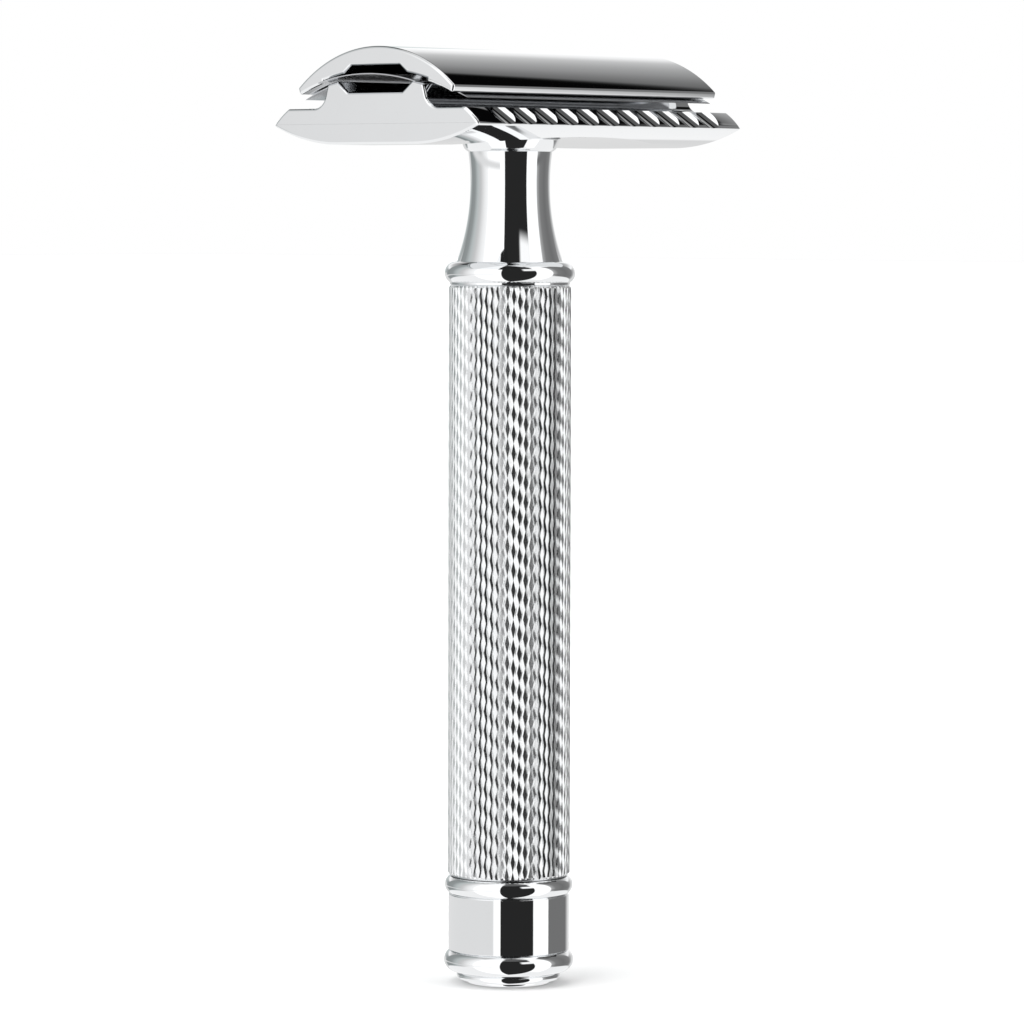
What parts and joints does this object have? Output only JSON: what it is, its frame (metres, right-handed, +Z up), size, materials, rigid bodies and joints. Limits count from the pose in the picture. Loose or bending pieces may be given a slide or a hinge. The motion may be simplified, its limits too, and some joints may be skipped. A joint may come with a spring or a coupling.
{
  "type": "safety razor",
  "caption": "Three-piece double-edge safety razor: arched cap, bent blade and fluted closed-comb plate on a knurled handle with a waisted neck.",
  "frame": {"origin": "centre of the foot's underside, on the handle's axis, with the razor standing upright", "axes": "+Z up the handle to the cap; X along the head and the cutting edges; the two cutting edges face +Y and -Y"},
  "size_m": [0.0428, 0.0274, 0.0948],
  "materials": {
    "polished_chrome": "mirror-bright chrome plate",
    "knurled_chrome": "chrome plate over a cut diamond knurl",
    "blade_steel": "satin rolled strip with ground and honed edges",
    "plain_steel": "bright turned steel"
  },
  "bodies": {
    "handle": {"end_cap": "polished_chrome", "pommel_band": "polished_chrome", "pommel_ring": "polished_chrome", "grip_sleeve": "knurled_chrome", "collar_ring": "polished_chrome", "neck": "polished_chrome", "tie_screw": "plain_steel"},
    "plate": {"base_plate": "polished_chrome"},
    "blade": {"razor_blade": "blade_steel"},
    "cap": {"top_cap": "polished_chrome", "cap_stud": "plain_steel"}
  },
  "joints": [
    {"name": "head_turn", "type": "hinge", "parent": "handle", "child": "plate", "pos_m": [0, 0, 0.08595], "axis": [0, 0, 1], "range_deg": [0, 3600]},
    {"name": "cap_lift", "type": "slide", "parent": "plate", "child": "cap", "axis": [0, 0, 1], "range_m": [0, 0.008]},
    {"name": "blade_lift", "type": "slide", "parent": "plate", "child": "blade", "axis": [0, 0, 1], "range_m": [0, 0.004]}
  ],
  "couplings": [
    {"joint": "cap_lift", "follows": "head_turn", "m_per_rad": 0.00012732},
    {"joint": "blade_lift", "follows": "head_turn", "m_per_rad": 0.000063662}
  ]
}
